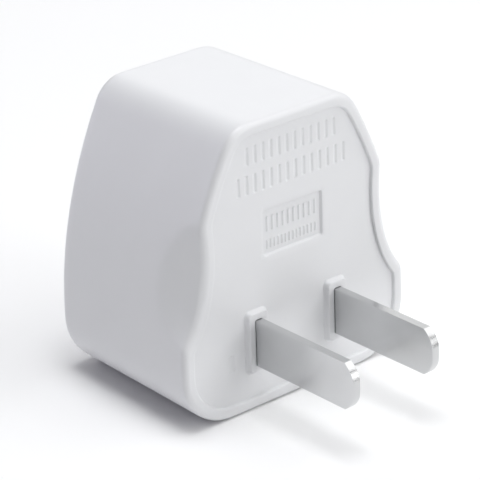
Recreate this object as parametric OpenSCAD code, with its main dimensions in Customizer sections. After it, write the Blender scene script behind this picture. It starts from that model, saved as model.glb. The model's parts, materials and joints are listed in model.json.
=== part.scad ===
// Travel adaptor: a two-blade plug on one side, a multi-standard socket on the other.
// Units are millimetres. +Z is up, +X is right, and the blades point to -Y.
// The origin is the middle of the flat base. d is the distance behind the plug face.

/* [Body] */
// Depth from the plug face to the socket side
body_depth = 25.4; // [25:0.1:28]
// Height of the body
body_height = 36.9; // [36.5:0.1:40]
// Width across the lower half at the plug face
front_width = 35.5; // [35:0.1:40]
// Width across the lower half at the socket side
back_width = 34; // [33.6:0.2:38]
// How fast the sides lean in at the plug face
front_lean = 0.0104; // [0.008:0.0002:0.012]
// How fast the sides lean in at the socket side
back_lean = 0.0098; // [0.008:0.0002:0.011]
// Height at which the sides start to lean in
lean_start = 8; // [7:0.5:10]
// Radius of the two bottom corners
bottom_radius = 7.2; // [5:0.1:7.6]
// Radius of the two top corners
top_radius = 4.5; // [2.5:0.1:5]
// Rounding of the edge round the plug face
front_round = 0.8; // [0.5:0.1:1.2]
// Rounding of the edge round the socket side
back_round = 1.7; // [1:0.1:1.8]
// Wall thickness
wall = 2.2; // [2:0.1:2.4]
// Thickness of the plug face behind its sunk field
face_wall = 2.3; // [2:0.1:3]

/* [Finger scoops] */
// Depth of the finger scoop in each side
scoop_depth = 1.9; // [0.5:0.1:2.2]
// Height of the middle of the scoop
scoop_height = 18.4; // [17:0.1:20]
// Half of the scoop's height
scoop_reach = 7.8; // [7:0.1:10]
// How far the scoop runs back from the plug face
scoop_length = 5.8; // [5.4:0.2:9]

/* [Plug face] */
// Width of the raised rim round the field
rim_width = 1.6; // [1.3:0.05:2]
// Depth of the sunk field
field_depth = 0.45; // [0.2:0.05:0.6]
// Depth of the rating panel
panel_depth = 0.35; // [0.2:0.05:0.5]
// Depth of the moulded strokes above the panel
mark_depth = 0.15; // [0.1:0.05:0.3]
// Width of the boss that each blade leaves through
boss_width = 3.4; // [3:0.1:4]
// Height of the boss that each blade leaves through
boss_height = 8.3; // [7.6:0.1:9]
// Height of the boss above the field
boss_rise = 0.7; // [0.3:0.05:1]

/* [Blades] */
// Distance between the two blades
blade_pitch = 12.7; // [12.5:0.1:12.9]
// Width of a blade
blade_width = 6; // [5.9:0.05:6.4]
// Thickness of a blade
blade_thick = 1.05; // [1:0.05:1.6]
// Length of a blade in front of its boss
blade_length = 17.1; // [15.9:0.1:18.2]
// Radius of the arc that rounds a blade's tip
tip_radius = 3.6; // [3.3:0.1:6]
// Length of the bevel at a blade's tip
tip_bevel = 0.2; // [0.1:0.1:1]
// Height of the blades' centre line above the base
blade_z = 8.9; // [8.8:0.1:9.2]

/* [Socket] */
// Thickness of the socket plate
plate_thick = 2.4; // [2.2:0.1:2.6]
// Height of the line and neutral pins above the base
pin_z = 7.7; // [7.6:0.1:7.8]
// Distance between the largest pins
pin_pitch = 22.2; // [22.1:0.05:22.3]
// Height of the earth pin above the line and neutral pins
earth_rise = 22.2; // [22:0.05:22.25]
// Height of the centre screw above the base
screw_z = 19.2; // [19:0.1:19.4]
// How far the shutter rises to open the socket
shutter_travel = 5.2; // [5.1:0.05:5.3]

/* [Hidden] */
$fn = 48;
face_y = -body_depth / 2;            // plug face
back_y = body_depth / 2;             // socket side
field_y = face_y + field_depth;      // sunk field of the plug face
inner_y = field_y + face_wall;       // inside of the plug face
plate_out = back_y - 0.1;            // outside of the socket plate
plate_in = plate_out - plate_thick;  // inside of the socket plate
blade_x = blade_pitch / 2;
pin_x = pin_pitch / 2;
earth_z = pin_z + earth_rise;
shutter_y = plate_in - 0.3;          // front of the shutter
shutter_deep = 5.5;                  // depth of the shutter
guide_y = shutter_y - shutter_deep - 0.2; // front of the shutter guide
shutter_bottom = pin_z - 2.6;
shutter_top = pin_z + 2.6;
spring_x = 9;
spring_y = shutter_y - 2.7;
shelf_z = shutter_top + 11.2;        // underside of the shelf above the springs
guide_screw_x = 6.4;
guide_screw_z = 25.2;
carrier_back = inner_y + 1.8;
ear_y = inner_y + 0.9;               // underside of the carrier's ears
carrier_screw_x = 9.4;
carrier_screw_z = 15.9;
tail_y = carrier_back + 2.6;         // inner end of a blade
rivet_y = carrier_back + 1.4;
jaw_thick = 0.45;
jaw_left = 8.4;                      // edge of a leaf next to its blade
jaw_right = 13.6;                    // outer edge of a leaf
pinch_y = -1.5;                      // where the leaves are closest
mouth_y = 2.2;                       // mouth of the leaves
pinch_gap = 1.95;                    // half of the gap between the leaves
mouth_gap = 3.6;                     // half of their mouth
upper_root = 12.3;                   // height at which the upper leaf starts
lower_root = 4;                      // height at which the lower leaf starts
slot_half_width = blade_thick / 2 + 0.05;
slot_half_height = blade_width / 2 + 0.05;
web_x = blade_x + blade_thick / 2;   // outer side of a blade
panel_z = 22.2;                      // middle of the rating panel
white = [0.93, 0.93, 0.94];
base_cut = 0.12;                     // depth cut off the underside to make the flat base
steps = 6;                           // points on each corner
rises = 16;                          // points up each side

// ---- outline of the body, d behind the plug face ----
function mix(a, b, t) = a + (b - a) * t;
function low_half(d) = mix(front_width, back_width, d / body_depth) / 2;
function lean(d) = mix(front_lean, back_lean, d / body_depth);
// share of the scoop's depth: 1 at the middle of the plug face's edge, 0 at the scoop's oval edge
function scoop_at(z, d) =
    let (r = sqrt(max(0, 1 - pow((z - scoop_height) / scoop_reach, 2))))
        r * max(0, r - d / scoop_length);
function half_width(z, d) =
    low_half(d) - lean(d) * pow(max(0, z - lean_start), 2) - scoop_depth * scoop_at(z, d);
// lean angle of the side where it meets the top corner
function top_angle(d) = atan(2 * lean(d) * (body_height - 1.5 - lean_start));
function side_end(d) = body_height - top_radius * (1 - sin(top_angle(d)));
function bottom_corner(d) = [
    for (i = [0 : steps - 1])
        let (a = -90 + 90 * i / steps)
            [low_half(d) - bottom_radius * (1 - cos(a)), mix(-base_cut, bottom_radius, 1 + sin(a))]
];
function side(d) = [
    for (i = [0 : rises])
        let (z = mix(bottom_radius, side_end(d), i / rises)) [half_width(z, d), z]
];
function top_corner(d) = [
    for (i = [1 : steps])
        let (t = top_angle(d), a = mix(t, 90, i / steps))
            [half_width(side_end(d), d) + top_radius * (cos(a) - cos(t)),
             body_height - top_radius * (1 - sin(a))]
];
function half_outline(d) = concat(bottom_corner(d), side(d), top_corner(d));
function outline(d) =
    let (h = half_outline(d), n = len(h))
        concat(h, [for (i = [n - 1 : -1 : 0]) [-h[i][0], h[i][1]]]);
// the outline moved in by a distance, along each point's normal
function inset(p, by) =
    let (n = len(p)) [
        for (i = [0 : n - 1])
            let (t = p[(i + 1) % n] - p[(i + n - 1) % n]) p[i] + by * [-t[1], t[0]] / norm(t)
    ];

// a solid through a list of rings, each [y, outline]
module loft(rings) {
    n = len(rings[0][1]);
    last = len(rings) - 1;
    points = [for (r = rings) for (p = r[1]) [p[0], r[0], p[1]]];
    sides = [
        for (k = [0 : last - 1])
            for (i = [0 : n - 1])
                let (a = k * n + i, b = k * n + (i + 1) % n)
                    for (f = [[a, b, a + n], [b, b + n, a + n]]) f
    ];
    front = [for (i = [n - 1 : -1 : 0]) i];
    back = [for (i = [0 : n - 1]) last * n + i];
    polyhedron(points, concat([front], sides, [back]));
}

// outer rings: a rounded front edge, the scoop, the long sides and a rounded back edge
front_rings = [
    for (i = [0 : 3])
        let (a = 30 * i, d = front_round * (1 - cos(a)))
            [face_y + d, inset(outline(d), front_round * (1 - sin(a)))]
];
side_rings = [
    for (d = [1.5, 2.2, 3, 3.8, 4.6, 5.2, scoop_length, 10, 15, 20]) [face_y + d, outline(d)]
];
back_rings = [
    for (i = [0 : 4])
        let (a = 90 - 22.5 * i, d = body_depth - back_round * (1 - cos(a)))
            [face_y + d, inset(outline(d), back_round * (1 - sin(a)))]
];
cavity_rings = [
    for (d = [inner_y - face_y, 3.8, 4.6, 5.2, scoop_length, 10, 15, 20, plate_in - face_y])
        [face_y + d, inset(outline(d), wall)]
];

// ---- small shared shapes ----
module along_y(y0, y1) {
    translate([0, y1, 0])
        rotate([90, 0, 0])
            linear_extrude(y1 - y0) children();
}

module round_rect(w, h, r) {
    square([w - 2 * r, h], center = true);
    square([w, h - 2 * r], center = true);
    for (x = [-1, 1], z = [-1, 1])
        translate([x * (w / 2 - r), z * (h / 2 - r)]) circle(r);
}

module rod_y(x, z, r, y0, y1) {
    translate([x, y1, z])
        rotate([90, 0, 0])
            cylinder(h = y1 - y0, r = r);
}

module block(x0, x1, y0, y1, z0, z1) {
    translate([x0, y0, z0]) cube([x1 - x0, y1 - y0, z1 - z0]);
}

module both_sides() {
    children();
    mirror([1, 0, 0]) children();
}

// a pan-head screw along Y: its head is towards +Y, with its seat at y
module screw(x, z, y, shank_r, head_r, head_h, length) {
    translate([x, y, z])
        rotate([90, 0, 0])
            difference() {
                union() {
                    cylinder(h = length - shank_r, r = shank_r);
                    translate([0, 0, length - shank_r])
                        cylinder(h = shank_r, r1 = shank_r, r2 = 0.2);
                    rotate_extrude()
                        polygon([[0, -head_h], [head_r * 0.7, -head_h], [head_r, -head_h * 0.45],
                                 [head_r, 0], [0, 0]]);
                }
                for (a = [0, 90])
                    rotate([0, 0, a])
                        translate([-head_r * 0.6, -head_r * 0.13, -head_h - 0.1])
                            cube([head_r * 1.2, head_r * 0.26, head_h * 0.55 + 0.1]);
            }
}

// ---- case ----
// a row of plain upright strokes, where a maker would put a name
module stroke_row(z, count, pitch, width, height) {
    for (i = [0 : count - 1])
        translate([(i - (count - 1) / 2) * pitch, z])
            square([width, height], center = true);
}

module plug_face_sinks() {
    along_y(face_y - 1, field_y)
        polygon(inset(outline(0), rim_width));
    along_y(field_y - 0.5, field_y + panel_depth)
        translate([0, panel_z]) round_rect(9.4, 5.8, 0.3);
    along_y(field_y - 0.5, field_y + mark_depth) {
        stroke_row(32.7, 12, 1.24, 0.42, 2.3);
        stroke_row(29.1, 14, 1.27, 0.42, 2.4);
        translate([-10.2, 7]) square([0.9, 2.2], center = true);
    }
}

module case_posts() {
    rod_y(0, screw_z, 2.7, inner_y - 0.5, plate_in - 0.1);
    both_sides()
        rod_y(carrier_screw_x, carrier_screw_z, 2.1, inner_y - 0.5, ear_y - 0.05);
}

module case() {
    color(white)
        difference() {
            union() {
                difference() {
                    loft(concat(front_rings, side_rings, back_rings));
                    loft(cavity_rings);
                    along_y(plate_in, back_y + 1)
                        polygon(inset(outline(body_depth - 2), wall - 0.35));
                    plug_face_sinks();
                }
                both_sides()
                    translate([blade_x, 0, blade_z])
                        along_y(field_y - boss_rise, field_y + 0.5)
                            round_rect(boss_width, boss_height, 0.8);
                // plain raised strokes in the rating panel
                along_y(field_y + panel_depth - mark_depth, field_y + panel_depth + 0.5) {
                    stroke_row(panel_z + 1, 10, 0.84, 0.32, 1.9);
                    stroke_row(panel_z - 1.6, 14, 0.59, 0.26, 1.2);
                }
                case_posts();
            }
            // blade slots
            both_sides()
                block(blade_x - slot_half_width, blade_x + slot_half_width, face_y - 2, inner_y + 0.1,
                      blade_z - slot_half_height, blade_z + slot_half_height);
            // screw holes
            rod_y(0, screw_z, 1.25, plate_in - 9, plate_in);
            both_sides()
                rod_y(carrier_screw_x, carrier_screw_z, 0.92, inner_y - 1.8, ear_y);
            // flat base
            block(-30, 30, -30, 30, -5, 0);
        }
}

// ---- socket plate ----
module pin_openings() {
    // flat and round pins side by side
    translate([pin_x, pin_z]) round_rect(6.8, 4.4, 0.4);
    translate([9.5, pin_z]) circle(2.5);
    // upright blades
    translate([blade_x, pin_z]) round_rect(1.9, 6.8, 0.3);
    // slanted blades
    translate([6.85, pin_z]) rotate(-30) round_rect(1.9, 6.8, 0.3);
}

module socket_plate() {
    color([0.92, 0.92, 0.93])
        difference() {
            union() {
                along_y(plate_in, plate_out)
                    polygon(inset(outline(body_depth - 2), wall - 0.25));
                both_sides()
                    rod_y(guide_screw_x, guide_screw_z, 2.1, guide_y + 0.05, plate_in + 0.5);
            }
            both_sides()
                along_y(plate_in - 1, plate_out + 1) pin_openings();
            along_y(plate_in - 1, plate_out + 1)
                translate([0, earth_z]) round_rect(4.4, 8.3, 0.4);
            rod_y(0, screw_z, 1.55, plate_in - 1, plate_out + 1);
            rod_y(0, screw_z, 2.9, plate_out - 1.2, plate_out + 1);
            both_sides()
                rod_y(guide_screw_x, guide_screw_z, 0.92, guide_y - 1, plate_in + 1.2);
        }
}

module plate_screw() {
    color("silver")
        screw(0, screw_z, plate_out - 1.2, 1.2, 2.6, 1.1, 9);
}

// ---- blades and contacts, drawn for the right side ----
module blade_side() {
    tip_y = field_y - boss_rise - blade_length;
    difference() {
        union() {
            intersection() {
                // side view: a flat strip with an arc for its tip
                translate([blade_x - blade_thick, 0, blade_z])
                    rotate([90, 0, 90])
                        linear_extrude(2 * blade_thick)
                            intersection() {
                                translate([tip_y, -blade_width / 2]) square([tail_y - tip_y, blade_width]);
                                union() {
                                    translate([tip_y + tip_radius, 0]) circle(tip_radius, $fn = 120);
                                    translate([tip_y + tip_radius, -blade_width])
                                        square([tail_y - tip_y, 2 * blade_width]);
                                }
                            }
                // plan view: bevelled tip
                translate([blade_x, 0, blade_z - blade_width])
                    linear_extrude(2 * blade_width)
                        polygon([[-blade_thick / 2, tail_y], [-blade_thick / 2, tip_y + tip_bevel],
                                 [-blade_thick * 0.38, tip_y], [blade_thick * 0.38, tip_y],
                                 [blade_thick / 2, tip_y + tip_bevel], [blade_thick / 2, tail_y]]);
            }
            // shoulder that seats on the inside of the plug face
            block(blade_x - blade_thick / 2, blade_x + blade_thick / 2, inner_y + 0.02, inner_y + 0.8,
                  blade_z - blade_width / 2 - 1.2, blade_z + blade_width / 2 + 1.2);
        }
        // rivet hole
        translate([blade_x - 2, rivet_y, blade_z])
            rotate([0, 90, 0]) cylinder(h = 4, r = 0.8);
    }
}

// a spring leaf: a strip that closes to the pinch line, then flares to its mouth
module leaf_strip(root, pinch, mouth) {
    translate([jaw_left, 0, 0])
        rotate([90, 0, 90])
            linear_extrude(jaw_right - jaw_left)
                union() {
                    strip([carrier_back + 0.25, root], [tail_y + 0.4, root]);
                    strip([tail_y + 0.4, root], [pinch_y - 0.7, pinch]);
                    strip([pinch_y - 0.7, pinch], [pinch_y + 0.7, pinch]);
                    strip([pinch_y + 0.7, pinch], [mouth_y, mouth]);
                }
}

module strip(a, b) {
    hull() {
        translate(a) circle(jaw_thick / 2, $fn = 16);
        translate(b) circle(jaw_thick / 2, $fn = 16);
    }
}

// web against the blade, tab to the leaf, and the leaf
module jaw(x, web_bottom, web_top, root, pinch, mouth) {
    difference() {
        union() {
            block(x, x + jaw_thick, carrier_back + 0.2, tail_y, web_bottom, web_top);
            block(x, jaw_left + 0.1, carrier_back + 0.2, tail_y, root - jaw_thick / 2, root + jaw_thick / 2);
            leaf_strip(root, pinch, mouth);
        }
        translate([x - 1, rivet_y, blade_z])
            rotate([0, 90, 0]) cylinder(h = 2, r = 0.8);
    }
}

module upper_jaw() {
    jaw(web_x + 0.02, blade_z - 2, upper_root, upper_root, pin_z + pinch_gap, pin_z + mouth_gap);
}

module lower_jaw() {
    jaw(web_x + 0.04 + jaw_thick, lower_root, blade_z + 2, lower_root, pin_z - pinch_gap, pin_z - mouth_gap);
}

// steel clip that presses the two leaves together
module jaw_spring_side() {
    t = 0.4;
    y0 = pinch_y - 0.6;
    y1 = pinch_y + 0.6;
    reach = pinch_gap + jaw_thick / 2 + 0.02;
    for (s = [-1, 1])
        block(10, 14.2, y0, y1, pin_z + s * (reach + t / 2) - t / 2, pin_z + s * (reach + t / 2) + t / 2);
    block(14.2 - t, 14.2, y0, y1, pin_z - reach - t, pin_z + reach + t);
}

module rivet() {
    translate([blade_x, rivet_y, blade_z])
        rotate([0, 90, 0])
            rotate_extrude()
                polygon([[0, -blade_thick / 2 - 0.6], [0.9, -blade_thick / 2 - 0.55],
                         [1.2, -blade_thick / 2 - 0.02], [0.78, -blade_thick / 2 - 0.02],
                         [0.78, blade_thick / 2 + 2 * jaw_thick + 0.06],
                         [1.2, blade_thick / 2 + 2 * jaw_thick + 0.06],
                         [0.9, blade_thick / 2 + 2 * jaw_thick + 0.6],
                         [0, blade_thick / 2 + 2 * jaw_thick + 0.65]]);
}

module blade_right() { color([0.72, 0.72, 0.7]) blade_side(); }
module blade_left() { mirror([1, 0, 0]) blade_right(); }
module upper_jaw_right() { color([0.8, 0.62, 0.3]) upper_jaw(); }
module upper_jaw_left() { mirror([1, 0, 0]) upper_jaw_right(); }
module lower_jaw_right() { color([0.78, 0.6, 0.28]) lower_jaw(); }
module lower_jaw_left() { mirror([1, 0, 0]) lower_jaw_right(); }
module jaw_spring_right() { color([0.5, 0.52, 0.55]) jaw_spring_side(); }
module jaw_spring_left() { mirror([1, 0, 0]) jaw_spring_right(); }
module blade_rivets() { color([0.75, 0.6, 0.35]) both_sides() rivet(); }

// ---- carrier that clamps the blades to the plug face ----
module contact_carrier() {
    color([0.2, 0.2, 0.22])
        difference() {
            union() {
                along_y(inner_y + 0.05, carrier_back)
                    translate([0, 8.4]) round_rect(26.4, 11.2, 2.4);
                both_sides() {
                    rod_y(carrier_screw_x, carrier_screw_z, 2.3, ear_y, carrier_back);
                    block(carrier_screw_x - 2.3, carrier_screw_x + 2.3, ear_y, carrier_back,
                          12, carrier_screw_z);
                }
            }
            both_sides() {
                // seat of the blade's shoulder, and the way through for the tail
                block(blade_x - slot_half_width - 0.1, blade_x + slot_half_width + 0.1, inner_y - 1,
                      inner_y + 0.85, blade_z - blade_width / 2 - 1.3, blade_z + blade_width / 2 + 1.3);
                block(blade_x - slot_half_width - 0.05, blade_x + slot_half_width + 0.05, inner_y - 1,
                      carrier_back + 1, blade_z - blade_width / 2 - 0.1, blade_z + blade_width / 2 + 0.1);
                rod_y(carrier_screw_x, carrier_screw_z, 1.05, inner_y, carrier_back + 1);
                rod_y(carrier_screw_x, carrier_screw_z, 2.3, inner_y, ear_y);
            }
            // slot that holds the barrier
            block(-0.45, 0.45, inner_y + 0.8, carrier_back + 1, 0, 20);
        }
}

module carrier_screws() {
    color("silver")
        both_sides()
            screw(carrier_screw_x, carrier_screw_z, carrier_back + 0.02, 0.9, 1.8, 0.9, 3.2);
}

module insulating_barrier() {
    color([0.85, 0.8, 0.62])
        block(-0.4, 0.4, inner_y + 0.85, guide_y - 2, 2.7, 15.6);
}

// ---- shutter, its guide and its springs ----
module shutter() {
    back = shutter_y - shutter_deep;
    color([0.95, 0.45, 0.15])
        difference() {
            // a wedge: pins push on its slope and lift it
            translate([-13.7, 0, 0])
                rotate([90, 0, 90])
                    linear_extrude(27.4)
                        polygon([[back, shutter_bottom], [back + 1.2, shutter_bottom],
                                 [shutter_y, shutter_top - 1], [shutter_y, shutter_top],
                                 [back, shutter_top]]);
            both_sides() {
                // room above the upright and slanted blades
                block(4.4, 9.2, back - 1, shutter_y + 1, 0, pin_z - 1.6);
                // spring seats
                translate([spring_x, spring_y, shutter_top - 1]) cylinder(h = 2, r = 1.9);
                // trimmed outer corners clear the leaning side wall
                translate([13.7, back - 1, shutter_top - 1.3])
                    rotate([0, -40, 0]) cube([3, shutter_deep + 2, 4]);
            }
        }
}

// a coil spring, drawn as a stack of rings joined by a thin tube
module coil(z0, z1, r, wire, turns) {
    pitch = (z1 - z0 - wire) / (turns - 1);
    for (i = [0 : turns - 1])
        translate([0, 0, z0 + wire / 2 + pitch * i])
            rotate_extrude()
                translate([r, 0]) circle(wire / 2, $fn = 16);
    translate([0, 0, z0 + wire / 2])
        difference() {
            cylinder(h = z1 - z0 - wire, r = r + 0.08);
            translate([0, 0, -1]) cylinder(h = z1 - z0, r = r - 0.08);
        }
}

module shutter_spring_right() {
    color([0.6, 0.62, 0.64])
        translate([spring_x, spring_y, 0])
            coil(shutter_top - 0.98, shelf_z - 0.02, 1.5, 0.4, 8);
}
module shutter_spring_left() { mirror([1, 0, 0]) shutter_spring_right(); }

module shutter_guide() {
    back = guide_y - 1.8;
    open_top = shutter_top + shutter_travel;
    color([0.8, 0.8, 0.82])
        difference() {
            union() {
                // back plate with sides that follow the case
                along_y(back, guide_y)
                    intersection() {
                        polygon(inset(outline(guide_y - face_y), wall + 0.25));
                        translate([-20, 2.6]) square([40, 25.4]);
                    }
                // stop under the closed shutter
                block(-4.2, 4.2, guide_y - 0.5, guide_y + 3.2, shutter_bottom - 1.2, shutter_bottom - 0.02);
                both_sides() {
                    // shelf above each spring
                    block(6.6, 11.3, guide_y - 0.5, shutter_y - 0.4, shelf_z, shelf_z + 1.2);
                    // rail beside the shutter
                    block(13.85, 14.2, guide_y - 0.5, guide_y + 3, 5.6, 13);
                    // stop above the open shutter
                    block(3.6, 6.2, guide_y - 0.5, guide_y + 2, open_top + 0.03, open_top + 1);
                }
            }
            both_sides() {
                // window for the pins
                block(4.7, 13.9, back - 1, guide_y + 0.01, 3.6, 12.4);
                rod_y(guide_screw_x, guide_screw_z, 1.05, back - 1, guide_y + 1);
            }
            // clearance for the centre post and the earth pin
            rod_y(0, screw_z, 3, back - 1, guide_y + 1);
            block(-2.7, 2.7, back - 1, guide_y + 1, earth_z - 4.6, 40);
        }
}

module guide_screws() {
    color("silver")
        both_sides()
            mirror([0, 1, 0])
                screw(guide_screw_x, guide_screw_z, -(guide_y - 1.82), 0.9, 1.8, 0.9, 5.2);
}

case();
socket_plate();
plate_screw();
blade_left();
blade_right();
upper_jaw_left();
upper_jaw_right();
lower_jaw_left();
lower_jaw_right();
jaw_spring_left();
jaw_spring_right();
blade_rivets();
contact_carrier();
carrier_screws();
insulating_barrier();
shutter();
shutter_spring_left();
shutter_spring_right();
shutter_guide();
guide_screws();
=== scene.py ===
"""Looks of the travel adaptor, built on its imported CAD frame."""

import json
import math

import bmesh
import bpy
import numpy as np
from mathutils import Matrix, Vector
from mathutils.geometry import delaunay_2d_cdt


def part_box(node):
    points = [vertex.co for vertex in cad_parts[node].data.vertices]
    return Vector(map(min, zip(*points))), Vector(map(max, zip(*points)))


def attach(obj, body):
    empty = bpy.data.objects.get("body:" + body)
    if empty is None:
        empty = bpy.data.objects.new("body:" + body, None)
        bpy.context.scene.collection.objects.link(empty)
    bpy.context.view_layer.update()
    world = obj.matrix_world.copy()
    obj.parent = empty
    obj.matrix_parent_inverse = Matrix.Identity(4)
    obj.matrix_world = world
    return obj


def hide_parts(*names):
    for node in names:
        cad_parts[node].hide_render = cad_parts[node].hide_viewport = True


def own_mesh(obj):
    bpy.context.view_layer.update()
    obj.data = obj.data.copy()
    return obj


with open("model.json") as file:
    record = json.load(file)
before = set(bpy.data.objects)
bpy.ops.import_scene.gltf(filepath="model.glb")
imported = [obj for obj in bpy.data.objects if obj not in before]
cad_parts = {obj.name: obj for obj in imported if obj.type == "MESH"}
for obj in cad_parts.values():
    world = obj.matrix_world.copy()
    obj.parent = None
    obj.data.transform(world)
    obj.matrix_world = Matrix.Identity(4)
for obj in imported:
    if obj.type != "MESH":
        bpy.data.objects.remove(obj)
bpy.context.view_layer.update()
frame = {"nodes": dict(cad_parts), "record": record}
NODES = frame["nodes"]

# ---- sizes, in millimetres ----
MM = 0.001  # metres
DEPTH, HEIGHT = 25.4, 36.9
FRONT_WIDTH, BACK_WIDTH = 35.5, 34.0
FRONT_LEAN, BACK_LEAN, LEAN_START = 0.0104, 0.0098, 8.0
BOTTOM_RADIUS, TOP_RADIUS = 7.2, 4.5
FRONT_ROUND, BACK_ROUND = 0.8, 1.7
WALL, FACE_WALL = 2.2, 2.3
SCOOP_DEPTH, SCOOP_LENGTH, SCOOP_SOFTNESS = 2.25, 5.8, 0.12
SCOOP_Z, SCOOP_UP, SCOOP_DOWN = 17.8, 8.3, 6.4  # the scoop's middle, its reach up and down
SCOOP_LIP = 0.5  # below 1, the scoop's lower end is steeper than its upper end
RIM_WIDTH, FIELD_DEPTH, PANEL_DEPTH, MARK_DEPTH = 1.6, 0.45, 0.35, 0.15
BOSS, BOSS_RISE = (3.4, 8.3, 0.8), 0.7  # width, height and corner radius; how far it stands up
FOOT_ROUND, SHOULDER_ROUND = 0.16, 0.26  # inner edges of the rim
BLADE_X, BLADE_Z = 6.35, 8.9
SLOT, SLOT_STEP = (1.15, 6.1, 0.15), 0.18  # a blade's way through, and the spacing of its points
SLOT_LEAD = 0.06  # how much the way's mouth widens on each side
SLOT_MOUTH = ((0.02, 0.02), (0.0, 0.08))  # the rest of the mouth: (widening, depth)
SLOT_END = 0.1  # length of the way's last stretch
FLOOR_DEPTH = FIELD_DEPTH + FACE_WALL  # inside of the plug face
FLOOR_FILLET = 0.5
PLATE_DEPTH = DEPTH - 2.5  # inside of the socket plate
PLATE_LEDGE = 0.35  # how far the plate's pocket goes into the wall
POCKET_DEPTH = DEPTH - 2  # where the pocket's outline is taken
POCKET_RINGS = (DEPTH - 0.08, DEPTH - 0.3, PLATE_DEPTH + 0.05, PLATE_DEPTH)
CAVITY_RINGS = (PLATE_DEPTH, 20, 14, 9, 6.4, SCOOP_LENGTH, 5.2, 4.4, FLOOR_DEPTH + FLOOR_FILLET)
# posts for the plate screw and the carrier screws: x, z, radius, end, radius and depth of the hole
POSTS = [(0.0, 19.2, 2.7, PLATE_DEPTH - 0.1, 1.25, 9.0)]
POSTS += [(s * 9.4, 15.9, 2.1, FLOOR_DEPTH + 0.85, 0.92, 2.7) for s in (-1, 1)]
POST_FILLET, POST_HOLLOW, POST_CHAMFER = 0.25, 0.07, 0.15  # hollow: middle of the fillet

# ---- how finely the shapes are drawn ----
LOOP, CORNER_POINTS, SIDE_POINTS, CIRCLE_POINTS = 420, 40, 200, 48
TOP_JOIN = 1.5  # below the top: where the side's slope is taken for the top corner
JOIN_PASSES, INSET_PASSES = 4, 6  # smoothing of an outline, and for each millimetre it moves in
MIN_RADIUS = 0.03  # of a rounded rectangle's corner
EDGE_ROUNDING, FOOT_ROUNDING, SHOULDER_ROUNDING, FILLET_ROUNDING = 12, 6, 7, 5  # rings
FINE_RINGS = (FRONT_ROUND + 0.25, SCOOP_LENGTH + 1.5, 0.25)  # start, end, spacing
COARSE_RINGS = (SCOOP_LENGTH + 2, DEPTH - BACK_ROUND - 0.5, 12)  # start, end, count
FACE_AREA, FACE_STEP = (17, 1, 36), 0.62  # half width, low and high, and the spacing of points
FLOOR_AREA, FLOOR_STEP = (16, 2, 36), 1.6
PANEL_CLEAR, MARK_CLEAR = 0.35, 0.2  # from the even points to the rings along edges
SAME_POINT = 1e-7  # points closer than this are one
CASE_SHARP, COIL_SHARP = 32, 60  # degrees from which an edge is sharp


def mix(a, b, t):
    return a + (b - a) * t


def smooth(t):
    t = np.clip(t, 0, 1)
    return t * t * (3 - 2 * t)


# ---- outline of the body, d behind the plug face ----
def lean(d):
    return mix(FRONT_LEAN, BACK_LEAN, d / DEPTH)


def half_width(z, d):
    """Half of the body's width, with the dished finger scoop taken off."""
    below = z < SCOOP_Z
    reach = np.where(below, SCOOP_DOWN, SCOOP_UP)
    r = np.sqrt(np.maximum(0, 1 - ((z - SCOOP_Z) / reach) ** 2))
    share = r - d / SCOOP_LENGTH
    end = np.where(below, r**SCOOP_LIP, r)
    dish = end * (share + np.sqrt(share**2 + SCOOP_SOFTNESS**2)) / 2
    leaning = lean(d) * np.maximum(0, z - LEAN_START) ** 2
    return mix(FRONT_WIDTH, BACK_WIDTH, d / DEPTH) / 2 - leaning - SCOOP_DEPTH * dish


def softened(points, passes):
    """A closed loop with each point drawn towards its neighbours, passes times."""
    for _ in range(passes):
        points = (np.roll(points, 1, 0) + 2 * points + np.roll(points, -1, 0)) / 4
    return points


def outline(d):
    """Evenly spaced points (x, z) round the body, from the base's middle towards +X and up."""
    low = mix(FRONT_WIDTH, BACK_WIDTH, d / DEPTH) / 2
    tilt = math.atan(2 * lean(d) * (HEIGHT - TOP_JOIN - LEAN_START))
    side_top = HEIGHT - TOP_RADIUS * (1 - math.sin(tilt))
    a = np.linspace(0, math.pi / 2, CORNER_POINTS)
    corner = np.c_[low - BOTTOM_RADIUS * (1 - np.sin(a)), BOTTOM_RADIUS * (1 - np.cos(a))]
    z = np.linspace(BOTTOM_RADIUS, side_top, SIDE_POINTS)[1:]
    side = np.c_[half_width(z, d), z]
    a = np.linspace(tilt, math.pi / 2, CORNER_POINTS)[1:]
    top_x = side[-1, 0] + TOP_RADIUS * (np.cos(a) - math.cos(tilt))
    top = np.c_[top_x, HEIGHT - TOP_RADIUS * (1 - np.sin(a))]
    half = np.vstack([[0, 0], corner, side, top, [0, HEIGHT]])
    loop = np.vstack([half, (half * [-1, 1])[::-1][1:]])
    run = np.r_[0, np.cumsum(np.linalg.norm(np.diff(loop, axis=0), axis=1))]
    at = np.linspace(0, run[-1], LOOP, endpoint=False)
    points = np.c_[np.interp(at, run, loop[:, 0]), np.interp(at, run, loop[:, 1])]
    return softened(points, JOIN_PASSES)


def inset(points, by):
    """A loop moved inwards, softened more the further it moves, so tight bends don't cross."""
    along = np.roll(points, -1, 0) - np.roll(points, 1, 0)
    along /= np.linalg.norm(along, axis=1)[:, None]
    points = points + by * np.c_[-along[:, 1], along[:, 0]]
    return softened(points, round(by * INSET_PASSES))


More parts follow.
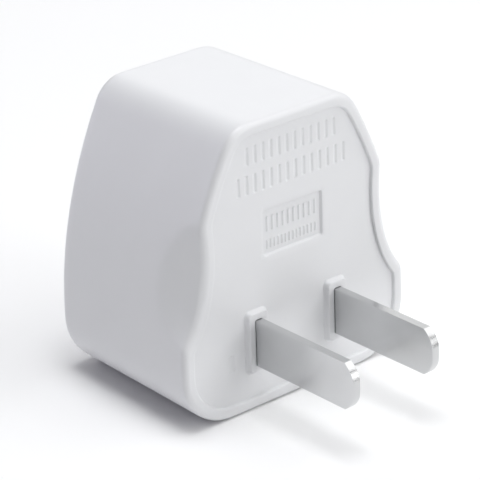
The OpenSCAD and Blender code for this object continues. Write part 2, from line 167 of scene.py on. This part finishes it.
# ---- flat shapes ----
def rounded_rect(x, z, w, h, r, step=0.25, grow=0.0):
    """Points round a rounded rectangle, grown outwards by grow."""
    w, h, r = w + 2 * grow, h + 2 * grow, max(r + grow, MIN_RADIUS)
    points = []
    for k, (sx, sz) in enumerate(((1, 1), (-1, 1), (-1, -1), (1, -1))):
        arc = max(3, int(r * math.pi / 2 / step) + 2)
        a = np.linspace(0, math.pi / 2, arc) + k * math.pi / 2
        c = (x + sx * (w / 2 - r), z + sz * (h / 2 - r))
        points += list(zip(c[0] + r * np.cos(a), c[1] + r * np.sin(a)))
    loop = np.array(points + points[:1])
    out = []
    for p, q in zip(loop[:-1], loop[1:]):
        parts = max(1, round(np.linalg.norm(q - p) / step))
        out += [mix(p, q, i / parts) for i in range(parts)]
    return np.array(out)


def rect_distance(p, x, z, w, h, r):
    """Signed distance of points from a rounded rectangle's edge, negative inside."""
    q = np.abs(p - [x, z]) - [w / 2 - r, h / 2 - r]
    return np.linalg.norm(np.maximum(q, 0), axis=1) + np.minimum(q.max(axis=1), 0) - r


def grid(half_width, low, high, step):
    """Evenly spaced points (x, z) from -half_width to half_width and from low to high."""
    x, z = np.arange(-half_width, half_width, step), np.arange(low, high, step)
    return np.stack(np.meshgrid(x, z), -1).reshape(-1, 2)


def circle(x, z, r):
    a = np.linspace(0, 2 * math.pi, CIRCLE_POINTS, endpoint=False)
    return np.c_[x + r * np.cos(a), z + r * np.sin(a)]


def inside(p, loop):
    """Which points lie inside a closed loop."""
    x, z = p[:, 0, None], p[:, 1, None]
    a, b = loop, np.roll(loop, -1, 0)
    crosses = (a[:, 1] > z) != (b[:, 1] > z)
    rise = np.where(b[:, 1] == a[:, 1], 1e-12, b[:, 1] - a[:, 1])
    left = x < (b[:, 0] - a[:, 0]) * (z - a[:, 1]) / rise + a[:, 0]
    return (crosses & left).sum(axis=1) % 2 == 1


# ---- a closed shell made of rings, bands between them and patches across them ----
class Shell:
    def __init__(self):
        self.points, self.faces = [], []

    def ring(self, xz, d):
        """Adds a loop of points, d behind the plug face. Returns (indices, xz)."""
        start = len(self.points)
        d = np.broadcast_to(d, len(xz))
        self.points += [(x, d_ - DEPTH / 2, z) for (x, z), d_ in zip(xz, d)]
        return list(range(start, start + len(xz))), np.asarray(xz)

    def band(self, a, b):
        """Faces between two rings of as many points."""
        n = len(a[0])
        for i in range(n):
            j = (i + 1) % n
            self.faces.append((a[0][i], a[0][j], b[0][j], b[0][i]))

    def bands(self, rings):
        """Faces from each ring to the next. Returns the last ring."""
        for a, b in zip(rings[:-1], rings[1:]):
            self.band(a, b)
        return rings[-1]

    def cap(self, ring):
        self.faces.append(tuple(ring[0]))

    def patch(self, outer, holes, fill, depth):
        """Fills the area between an outer ring and hole rings, through the fill points."""
        keep = inside(fill, outer[1])
        for hole in holes:
            keep &= ~inside(fill, hole[1])
        fill = self.ring(fill[keep], depth(fill[keep]))
        loops = [outer, *holes]
        ids = [i for part in (*loops, fill) for i in part[0]]
        flat = np.vstack([part[1] for part in (*loops, fill)])
        edges, start = [], 0
        for part in loops:
            n = len(part[0])
            edges += [(start + i, start + (i + 1) % n) for i in range(n)]
            start += n
        result = delaunay_2d_cdt([Vector(p) for p in flat], edges, [], 0, SAME_POINT)
        back = [ids[o[0]] for o in result[3]]
        at = np.array([tuple(v) for v in result[0]])
        tris = np.array(result[2])
        middle = at[tris].mean(axis=1)
        good = inside(middle, outer[1])
        for hole in holes:
            good &= ~inside(middle, hole[1])
        self.faces += [tuple(back[i] for i in tri) for tri in tris[good]]

    def build(self, name):
        mesh = bpy.data.meshes.new(name)
        mesh.from_pydata([Vector(p) * MM for p in self.points], [], self.faces)
        return finish_mesh(mesh, name, CASE_SHARP)


def finish_mesh(mesh, name, sharp):
    """A linked piece with outward faces, smooth but for edges sharper than so many degrees."""
    bm = bmesh.new()
    bm.from_mesh(mesh)
    bmesh.ops.delete(bm, geom=[v for v in bm.verts if not v.link_faces], context="VERTS")
    bmesh.ops.recalc_face_normals(bm, faces=bm.faces)
    bm.to_mesh(mesh)
    bm.free()
    mesh.shade_smooth()
    mesh.set_sharp_from_angle(angle=math.radians(sharp))
    piece = bpy.data.objects.new(name, mesh)
    bpy.context.scene.collection.objects.link(piece)
    return piece


# ---- materials ----
NOISE_RANGE = (0.3, 0.7)  # where nearly all of the noise lies
# noise scales, in waves per metre
MOTTLE_SCALE, GLOSS_SCALE, GRAIN_SCALE, TARNISH_SCALE = 160, 420, 5200, 260
PLASTIC_GLOSS, METAL_GLOSS = (0.92, 1.1), (0.88, 1.15)  # roughness varies between these shares
TARNISH = 0.94


def material(name, color, roughness, metallic=0.0, **inputs):
    """A principled material, with its node tree and its shader."""
    mat = bpy.data.materials.new(name)
    mat.use_nodes = True
    tree = mat.node_tree
    shader = tree.nodes["Principled BSDF"]
    shader.inputs["Base Color"].default_value = (*color, 1)
    shader.inputs["Roughness"].default_value = roughness
    shader.inputs["Metallic"].default_value = metallic
    for key, value in inputs.items():
        shader.inputs[key.replace("_", " ")].default_value = value
    return mat, tree, shader


def add(tree, kind, links=(), **settings):
    """A new node, with links to its inputs, and settings of the node itself or its inputs."""
    node = tree.nodes.new(kind)
    for key, value in settings.items():
        if hasattr(node, key):
            setattr(node, key, value)
        else:
            node.inputs[key.replace("_", " ")].default_value = value
    for key, source in dict(links).items():
        tree.links.new(source, node.inputs[key])
    return node


def noise(tree, scale, detail, stretch=(1, 1, 1)):
    """Noise in the object's own coordinates, its output 0 to 1."""
    place = add(tree, "ShaderNodeTexCoord")
    sized = add(tree, "ShaderNodeMapping", {"Vector": place.outputs["Object"]}, Scale=stretch)
    links = {"Vector": sized.outputs[0]}
    return add(tree, "ShaderNodeTexNoise", links, Scale=scale, Detail=detail).outputs["Fac"]


def spread(tree, value, low, high):
    """Spreads noise over the range from low to high."""
    start, end = NOISE_RANGE
    limits = {"From_Min": start, "From_Max": end, "To_Min": low, "To_Max": high}
    return add(tree, "ShaderNodeMapRange", {"Value": value}, **limits).outputs[0]


def tint(tree, shader, value, low, high):
    """Base colour between two colours."""
    ramp = add(tree, "ShaderNodeValToRGB", {"Fac": value})
    for stop, position, color in zip(ramp.color_ramp.elements, NOISE_RANGE, (low, high)):
        stop.position, stop.color = position, (*color, 1)
    tree.links.new(ramp.outputs[0], shader.inputs["Base Color"])


def bump(tree, shader, height, distance):
    """Relief whose highest points stand so many metres proud."""
    node = add(tree, "ShaderNodeBump", {"Height": height}, Strength=1.0, Distance=distance)
    tree.links.new(node.outputs[0], shader.inputs["Normal"])


def plastic(name, color, roughness, grain=0.0000015, mottle=0.012, **inputs):
    """Moulded plastic: faint flow mottling, uneven gloss and a very fine grain."""
    mat, tree, shader = material(name, color, roughness, **inputs)
    darker = tuple(c * (1 - mottle) for c in color)
    tint(tree, shader, noise(tree, MOTTLE_SCALE, 3), darker, color)
    limits = [roughness * share for share in PLASTIC_GLOSS]
    gloss = spread(tree, noise(tree, GLOSS_SCALE, 4), *limits)
    tree.links.new(gloss, shader.inputs["Roughness"])
    bump(tree, shader, noise(tree, GRAIN_SCALE, 2), grain)
    return mat


def drawn_metal(name, color, roughness, stretch, lines=900, depth=0.000002, **inputs):
    """Metal with fine lines along its drawn or rolled length and a light tarnish."""
    mat, tree, shader = material(name, color, roughness, 1.0, **inputs)
    streak = noise(tree, lines, 4, stretch)
    darker = tuple(c * TARNISH for c in color)
    tint(tree, shader, noise(tree, TARNISH_SCALE, 4), darker, color)
    limits = [roughness * share for share in METAL_GLOSS]
    tree.links.new(spread(tree, streak, *limits), shader.inputs["Roughness"])
    bump(tree, shader, streak, depth)
    return mat


WHITE = (0.80, 0.805, 0.82)
NICKEL = (0.65, 0.655, 0.66)
MATERIALS = {
    "case_plastic": plastic("case_plastic", WHITE, 0.34),
    "socket_plastic": plastic("socket_plastic", tuple(c * 0.98 for c in WHITE), 0.36),
    "guide_plastic": plastic("guide_plastic", (0.55, 0.56, 0.58), 0.5, 0.000004),
    "shutter_plastic": plastic("shutter_plastic", (0.74, 0.74, 0.76), 0.42, 0.000003),
    "carrier_plastic": plastic("carrier_plastic", (0.02, 0.02, 0.022), 0.48, 0.000008, 0.25),
    "barrier_sheet": plastic("barrier_sheet", (0.62, 0.5, 0.28), 0.6, 0.000012, 0.2),
    "blade_nickel": drawn_metal("blade_nickel", NICKEL, 0.22, (1, 0.03, 1), Anisotropic=0.3),
    "contact_brass": drawn_metal("contact_brass", (0.78, 0.56, 0.24), 0.33, (1, 0.05, 1)),
    "rivet_brass": drawn_metal("rivet_brass", (0.7, 0.5, 0.24), 0.36, (0.2, 1, 1), 700),
    "spring_steel": drawn_metal("spring_steel", (0.48, 0.49, 0.52), 0.33, (1, 1, 0.3), 1500),
    "screw_steel": drawn_metal("screw_steel", (0.62, 0.62, 0.64), 0.34, (1, 0.3, 1), 1200),
}
SLOT_OF = {part["node"]: part["material_slot"] for part in frame["record"]["subparts"]}


def paint(piece, slot):
    piece.data.materials.clear()
    piece.data.materials.append(MATERIALS[slot])


# ---- the plug face ----
STROKE_RADIUS = 0.12


def stroke_row(z, count, pitch, width, height):
    """A row of plain moulded strokes."""
    middle = (count - 1) / 2
    return [((i - middle) * pitch, z, width, height, STROKE_RADIUS) for i in range(count)]


# shapes on the plug face: x, z, width, height, corner radius
SUNK_MARKS = stroke_row(32.7, 12, 1.24, 0.42, 2.3) + stroke_row(29.1, 14, 1.27, 0.42, 2.4)
SUNK_MARKS.append((-10.2, 7.0, 0.9, 2.2, 0.2))
PANEL = (0.0, 22.2, 9.4, 5.8, 0.3)
RAISED_MARKS = stroke_row(23.2, 10, 0.84, 0.32, 1.9) + stroke_row(20.6, 14, 0.59, 0.26, 1.2)
BOSSES = [(s * BLADE_X, BLADE_Z, *BOSS) for s in (-1, 1)]
# what is moulded into the field: shapes, how deep, how far outside a shape its edge starts,
# and how wide the edge is
MOULDED = (
    (SUNK_MARKS, MARK_DEPTH, 0.13, 0.33),
    ([PANEL], PANEL_DEPTH, 0.1, 0.28),
    (RAISED_MARKS, -MARK_DEPTH, 0.08, 0.2),
    (BOSSES, -BOSS_RISE, 0.06, 0.36),
)
# rings of points along the edges: shapes, distances from their outlines, spacing
EDGE_RINGS = (
    (SUNK_MARKS, (-0.18, -0.12, -0.05, 0.02, 0.08, 0.14), 0.2),
    ([PANEL], (-0.2, -0.15, -0.1, -0.05, 0.0, 0.05, 0.11), 0.2),
    (RAISED_MARKS, (-0.11, -0.06, 0.0, 0.05, 0.09), 0.18),
    (BOSSES, (-0.4, -0.31, -0.26, -0.2, -0.14, -0.09, -0.04, 0.0, 0.03, 0.07, 0.2), 0.22),
)


def face_depth(p):
    """Depth of the plug face's field at points (x, z), with everything moulded into it."""
    depth = np.full(len(p), FIELD_DEPTH)
    for shapes, deep, start, width in MOULDED:
        for shape in shapes:
            depth += deep * smooth((start - rect_distance(p, *shape)) / width)
    return depth


def face_points():
    """Points of the field, close together wherever its depth changes."""
    near = []
    for shapes, grows, step in EDGE_RINGS:
        near += [rounded_rect(*shape, step, grow) for shape in shapes for grow in grows]
    field = grid(*FACE_AREA, FACE_STEP)
    clear = np.full(len(field), True)
    for shape in [PANEL] + BOSSES:
        clear &= np.abs(rect_distance(field, *shape)) > PANEL_CLEAR
    for shape in SUNK_MARKS + RAISED_MARKS:
        clear &= rect_distance(field, *shape) > MARK_CLEAR
    return np.vstack([*near, field[clear]])


# ---- the case ----
def rounding(radius, count):
    """A quarter circle, as (depth, inset) pairs from (0, radius) to (radius, 0)."""
    turns = np.radians(np.linspace(0, 90, count))
    return [(radius * (1 - math.cos(a)), radius * (1 - math.sin(a))) for a in turns]


def body_ring(shell, d, by):
    """A ring of the body's outline moved in by a distance, resting on the flat base."""
    points = inset(outline(d), by)
    points[:, 1] = np.maximum(points[:, 1], 0.0)
    return shell.ring(points, d)


def add_body(shell):
    """The body from the rim's foot, round the outside and back in. Returns the end rings."""
    profile = [(FIELD_DEPTH - d, RIM_WIDTH + i) for d, i in rounding(FOOT_ROUND, FOOT_ROUNDING)]
    profile += [(i, RIM_WIDTH - d) for d, i in rounding(SHOULDER_ROUND, SHOULDER_ROUNDING)[1:]]
    profile += rounding(FRONT_ROUND, EDGE_ROUNDING)
    profile += [(d, 0.0) for d in np.arange(*FINE_RINGS)]
    profile += [(d, 0.0) for d in np.linspace(*COARSE_RINGS)]
    profile += [(DEPTH - d, i) for d, i in rounding(BACK_ROUND, EDGE_ROUNDING)[::-1]]
    rings = [body_ring(shell, d, by) for d, by in profile]
    pocket = inset(outline(POCKET_DEPTH), WALL - PLATE_LEDGE)
    rings += [shell.ring(pocket, d) for d in POCKET_RINGS]
    rings += [shell.ring(inset(outline(d), WALL), d) for d in CAVITY_RINGS]
    for d, i in rounding(FLOOR_FILLET, FILLET_ROUNDING)[1:]:
        rings.append(shell.ring(inset(outline(FLOOR_DEPTH), WALL + d), FLOOR_DEPTH + i))
    shell.bands(rings)
    return rings[0], rings[-1]


def add_blade_way(shell, side):
    """A blade's way through the plug face. Returns its end rings."""
    top, centre = FIELD_DEPTH - BOSS_RISE, np.array([side * BLADE_X, BLADE_Z])
    mouth = rounded_rect(*centre, *SLOT, SLOT_STEP, SLOT_LEAD)
    narrow = np.array(SLOT[:2])
    rings = [shell.ring(mouth, top)]
    for grow, depth in SLOT_MOUTH:
        share = (narrow + 2 * grow) / (narrow + 2 * SLOT_LEAD)
        rings.append(shell.ring(centre + (mouth - centre) * share, top + depth))
    rings += [shell.ring(rings[-1][1], d) for d in (FLOOR_DEPTH - SLOT_END, FLOOR_DEPTH)]
    shell.bands(rings)
    return rings[0], rings[-1]


def add_post(shell, x, z, r, end, hole, deep):
    """A post with a blind hole, on the inside of the plug face. Returns its foot's ring."""
    foot = shell.ring(circle(x, z, r + POST_FILLET), FLOOR_DEPTH)
    profile = [
        (r + POST_HOLLOW, FLOOR_DEPTH + POST_HOLLOW),
        (r, FLOOR_DEPTH + POST_FILLET),
        (r, end - POST_CHAMFER),
        (r - POST_CHAMFER, end),
        (hole + POST_CHAMFER, end),
        (hole, end - POST_CHAMFER),
        (hole, end - deep),
    ]
    rings = [foot] + [shell.ring(circle(x, z, radius), d) for radius, d in profile]
    shell.cap(shell.bands(rings))
    return foot


def build_case():
    shell = Shell()
    rim, floor = add_body(shell)
    fronts, backs = zip(*[add_blade_way(shell, side) for side in (-1, 1)])
    shell.patch(rim, fronts, face_points(), face_depth)
    feet = [add_post(shell, *post) for post in POSTS]
    points = grid(*FLOOR_AREA, FLOOR_STEP)
    shell.patch(floor, [*backs, *feet], points, lambda p: np.full(len(p), FLOOR_DEPTH))
    case = shell.build("case_shell")
    paint(case, "case_plastic")
    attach(case, "root")
    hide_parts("case")


# ---- shutter springs ----
WIRE_RADIUS, WIRE_SIDES, TURNS, TURN_STEPS = 0.2, 12, 9.0, 40
END_TURNS, CLOSED_PITCH = 1.2, 0.06  # the pitch grows over the end turns, from this share of it


def build_spring(side):
    node = "shutter_spring_right" if side > 0 else "shutter_spring_left"
    lo, hi = (np.array(c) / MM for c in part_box(node))
    radius = (hi[0] - lo[0]) / 2 - WIRE_RADIUS
    centre = (lo + hi) / 2
    steps = int(TURNS * TURN_STEPS)
    t = np.linspace(0, TURNS, steps + 1)
    pitch = smooth(t / END_TURNS) * smooth((TURNS - t) / END_TURNS) + CLOSED_PITCH
    rise = np.r_[0, np.cumsum((pitch[1:] + pitch[:-1]) / 2)]
    z = lo[2] + WIRE_RADIUS + rise / rise[-1] * (hi[2] - lo[2] - 2 * WIRE_RADIUS)
    turn = 2 * math.pi * t * side
    path = np.c_[centre[0] + radius * np.cos(turn), centre[1] + radius * np.sin(turn), z]
    out = np.c_[np.cos(turn), np.sin(turn), np.zeros_like(turn)]
    around = np.linspace(0, 2 * math.pi, WIRE_SIDES, endpoint=False)
    level, upright = np.cos(around)[:, None], np.sin(around)[:, None] * [0, 0, 1]
    points = np.vstack([p + WIRE_RADIUS * (level * o + upright) for p, o in zip(path, out)])
    faces = []
    for i in range(steps):
        for k in range(WIRE_SIDES):
            a, b = i * WIRE_SIDES + k, i * WIRE_SIDES + (k + 1) % WIRE_SIDES
            faces.append((a, b, b + WIRE_SIDES, a + WIRE_SIDES))
    faces += [tuple(start + k for k in range(WIRE_SIDES)) for start in (0, steps * WIRE_SIDES)]
    mesh = bpy.data.meshes.new(node + "_coil")
    mesh.from_pydata([Vector(p) * MM for p in points], [], faces)
    coil = finish_mesh(mesh, node + "_coil", COIL_SHARP)
    paint(coil, "spring_steel")
    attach(coil, "root")
    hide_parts(node)
    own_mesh(coil)


# ---- CAD nodes that keep their shape: rounded edges and their material ----
FLAT_ANGLE, EDGE_ANGLE, EDGE_SEGMENTS = 0.5, 35, 3  # degrees, degrees, count


def soften(node, width):
    """Joins a node's flat faces, rounds its edges and gives it its material."""
    piece = NODES[node]
    flat = piece.modifiers.new("flat", "DECIMATE")
    flat.decimate_type = "DISSOLVE"
    flat.angle_limit = math.radians(FLAT_ANGLE)
    edge = piece.modifiers.new("edge", "BEVEL")
    edge.limit_method = "ANGLE"
    edge.angle_limit = math.radians(EDGE_ANGLE)
    edge.width = width * MM
    edge.segments = EDGE_SEGMENTS
    edge.harden_normals = True
    paint(piece, SLOT_OF[node])


EDGES = {  # each node's edge width, in millimetres
    "socket_plate": 0.18,
    "plate_screw": 0.08,
    "blade_left": 0.14,
    "blade_right": 0.14,
    "upper_jaw_left": 0.06,
    "upper_jaw_right": 0.06,
    "lower_jaw_left": 0.06,
    "lower_jaw_right": 0.06,
    "jaw_spring_left": 0.06,
    "jaw_spring_right": 0.06,
    "blade_rivets": 0.06,
    "contact_carrier": 0.12,
    "carrier_screws": 0.06,
    "insulating_barrier": 0.05,
    "shutter": 0.15,
    "shutter_guide": 0.12,
    "guide_screws": 0.06,
}


# ---- stage, light and camera ----
FLOOR_REACH = 3.0  # metres from the middle to each edge


def build_stage():
    s = FLOOR_REACH
    mesh = bpy.data.meshes.new("floor")
    mesh.from_pydata([(-s, -s, 0), (s, -s, 0), (s, s, 0), (-s, s, 0)], [], [(0, 1, 2, 3)])
    floor = bpy.data.objects.new("floor", mesh)
    bpy.context.scene.collection.objects.link(floor)
    floor.data.materials.append(material("floor_paper", (0.96, 0.96, 0.96), 0.9)[0])


# softboxes: azimuth (0 in front of the blades, 90 to their right), elevation,
# size in metres, watts, colour
LIGHTS = {
    "overhead": (0, 89, 0.45, 3.9, (0.98, 0.99, 1.0)),
    "high_front": (0, 60, 0.6, 1.2, (1.0, 1.0, 1.0)),
    "high_right": (60, 45, 0.6, 1.5, (1.0, 1.0, 1.0)),
    "front": (22, 18, 0.5, 1.78, (1.0, 1.0, 1.0)),
    "back_right": (140, 24, 0.6, 0.9, (1.0, 1.0, 1.0)),
    "back": (180, 45, 0.6, 0.5, (1.0, 1.0, 1.0)),
    "back_left": (-140, 18, 0.6, 0.84, (0.88, 0.85, 1.0)),
    "low_left": (-160, 8, 0.4, 0.4, (0.88, 0.85, 1.0)),
}
LIGHT_DISTANCE = 0.8
LIT_POINT = Vector((0, 0, HEIGHT / 2 * MM))
WORLD_COLOR, WORLD_STRENGTH = (0.9, 0.9, 1.0), 0.02


def build_light():
    world = bpy.data.worlds.new("studio")
    world.use_nodes = True
    background = world.node_tree.nodes["Background"]
    background.inputs["Color"].default_value = (*WORLD_COLOR, 1)
    background.inputs["Strength"].default_value = WORLD_STRENGTH
    bpy.context.scene.world = world
    for name, (azimuth, elevation, size, power, color) in LIGHTS.items():
        az, el = math.radians(azimuth), math.radians(elevation)
        out = Vector((math.sin(az) * math.cos(el), -math.cos(az) * math.cos(el), math.sin(el)))
        data = bpy.data.lights.new(name, "AREA")
        data.shape = "DISK"
        data.size, data.energy, data.color = size, power, color
        lamp = bpy.data.objects.new(name, data)
        lamp.location = LIT_POINT + out * LIGHT_DISTANCE
        lamp.rotation_euler = out.to_track_quat("Z", "Y").to_euler()
        bpy.context.scene.collection.objects.link(lamp)


# degrees, metres and, for the lens and the sensor, millimetres
CAMERA = {"azimuth": -39.857, "elevation": 24.017, "roll": 2.028, "distance": 0.30348}
LENS, SENSOR = 195.0, 36.0
CLIP = (0.01, 20)
AIM = (-0.00865, -0.0127, 0.0229)  # point on the plug face in the middle of the frame


def build_camera():
    az, el, roll = (math.radians(CAMERA[k]) for k in ("azimuth", "elevation", "roll"))
    forward = Vector((-math.sin(az) * math.cos(el), math.cos(az) * math.cos(el), -math.sin(el)))
    level = forward.cross(Vector((0, 0, 1))).normalized()
    down = forward.cross(level)
    right = level * math.cos(roll) + down * math.sin(roll)
    up = (-forward).cross(right)
    data = bpy.data.cameras.new("camera")
    data.lens, data.sensor_width = LENS, SENSOR
    data.clip_start, data.clip_end = CLIP
    camera = bpy.data.objects.new("camera", data)
    place = Matrix((right, up, -forward)).transposed().to_4x4()
    place.translation = Vector(AIM) - forward * CAMERA["distance"]
    camera.matrix_world = place
    bpy.context.scene.collection.objects.link(camera)
    bpy.context.scene.camera = camera


build_case()
for side in (-1, 1):
    build_spring(side)
for name, width in EDGES.items():
    soften(name, width)
build_stage()
build_light()
build_camera()
bpy.context.scene.view_settings.view_transform = "Standard"
